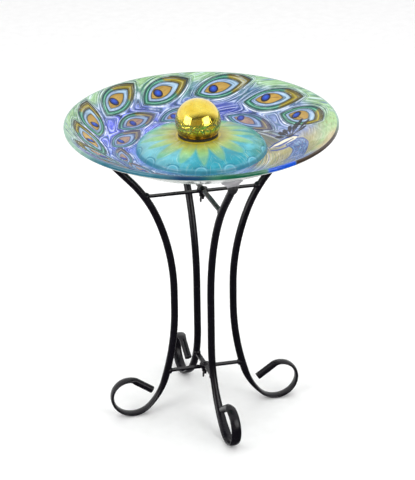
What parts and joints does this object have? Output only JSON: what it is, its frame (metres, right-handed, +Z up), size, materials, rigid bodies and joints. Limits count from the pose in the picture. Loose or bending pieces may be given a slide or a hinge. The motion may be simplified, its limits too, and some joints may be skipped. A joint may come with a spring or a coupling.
{
  "type": "bird bath",
  "caption": "Round glass bird bath bowl with a raised centre and lit globe, resting on soft cups on a folding scroll-footed steel tube stand.",
  "frame": {"origin": "on the floor under the middle of the bowl", "axes": "+Z up; +X towards the outer frame's right leg; the inner frame stands 96 degrees round from it"},
  "size_m": [0.4572, 0.4572, 0.5896],
  "materials": {
    "frame_paint": "satin black powder coat",
    "fastener_steel": "black coated steel",
    "cup_rubber": "translucent grey PVC",
    "cap_rubber": "black",
    "plug_plastic": "black",
    "bowl_glass": "reverse painted, embossed, glossy",
    "globe_glass": "gold mirrored crackle glass",
    "collar_plastic": "dark",
    "gasket_rubber": "soft",
    "housing_plastic": "black moulded",
    "screw_steel": "plated",
    "solar_glass": "dark solar cell under clear resin",
    "lamp_lens": "clear lens",
    "battery_wrap": "shrink wrap",
    "contact_metal": "nickel plated spring steel",
    "button_rubber": "soft",
    "switch_body": "moulded",
    "board_laminate": "green solder mask"
  },
  "bodies": {
    "outer_frame": {"left_foot_plug": "plug_plastic", "left_leg": "frame_paint", "left_leg_cap": "cap_rubber", "left_suction_cup": "cup_rubber", "lower_pivot_bolt": "fastener_steel", "lower_washer": "fastener_steel", "outer_lower_crossbar": "frame_paint", "outer_upper_crossbar": "frame_paint", "right_foot_plug": "plug_plastic", "right_leg": "frame_paint", "right_leg_cap": "cap_rubber", "right_suction_cup": "cup_rubber", "upper_pivot_bolt": "fastener_steel", "upper_washer": "fastener_steel"},
    "inner_frame": {"back_foot_plug": "plug_plastic", "back_leg": "frame_paint", "back_leg_cap": "cap_rubber", "back_suction_cup": "cup_rubber", "front_foot_plug": "plug_plastic", "front_leg": "frame_paint", "front_leg_cap": "cap_rubber", "front_suction_cup": "cup_rubber", "inner_lower_crossbar": "frame_paint", "inner_upper_crossbar": "frame_paint"},
    "bowl": {"battery_cell": "battery_wrap", "battery_contacts": "contact_metal", "battery_door": "housing_plastic", "circuit_board": "board_laminate", "door_screws": "screw_steel", "glass_bowl": "bowl_glass", "lamp_carrier": "housing_plastic", "led_lamp": "lamp_lens", "light_gasket": "gasket_rubber", "light_housing": "housing_plastic", "lock_ring": "collar_plastic", "push_switch": "switch_body", "solar_cell": "solar_glass"},
    "globe": {"glass_globe": "globe_glass", "globe_collar": "collar_plastic"},
    "upper_nut": {"upper_wing_nut": "fastener_steel"},
    "lower_nut": {"lower_wing_nut": "fastener_steel"},
    "button": {"power_button": "button_rubber"}
  },
  "joints": [
    {"name": "stand_fold", "type": "hinge", "parent": "outer_frame", "child": "inner_frame", "pos_m": [0, 0, 0.425], "axis": [0, 0, 1], "range_deg": [-80, 68]},
    {"name": "bowl_lift", "type": "slide", "parent": "outer_frame", "child": "bowl", "axis": [0, 0, 1], "range_m": [0, 0.15]},
    {"name": "globe_lift", "type": "slide", "parent": "bowl", "child": "globe", "axis": [0, 0, 1], "range_m": [0, 0.08]},
    {"name": "button_press", "type": "slide", "parent": "bowl", "child": "button", "axis": [0, 0, 1], "range_m": [0, 0.0012], "stiffness_N_per_m": 300, "springref_m": -0.0005},
    {"name": "upper_nut_turn", "type": "hinge", "parent": "outer_frame", "child": "upper_nut", "pos_m": [0, 0, 0.417], "axis": [0, 0, 1], "continuous": true},
    {"name": "lower_nut_turn", "type": "hinge", "parent": "outer_frame", "child": "lower_nut", "pos_m": [0, 0, 0.075], "axis": [0, 0, 1], "continuous": true}
  ]
}
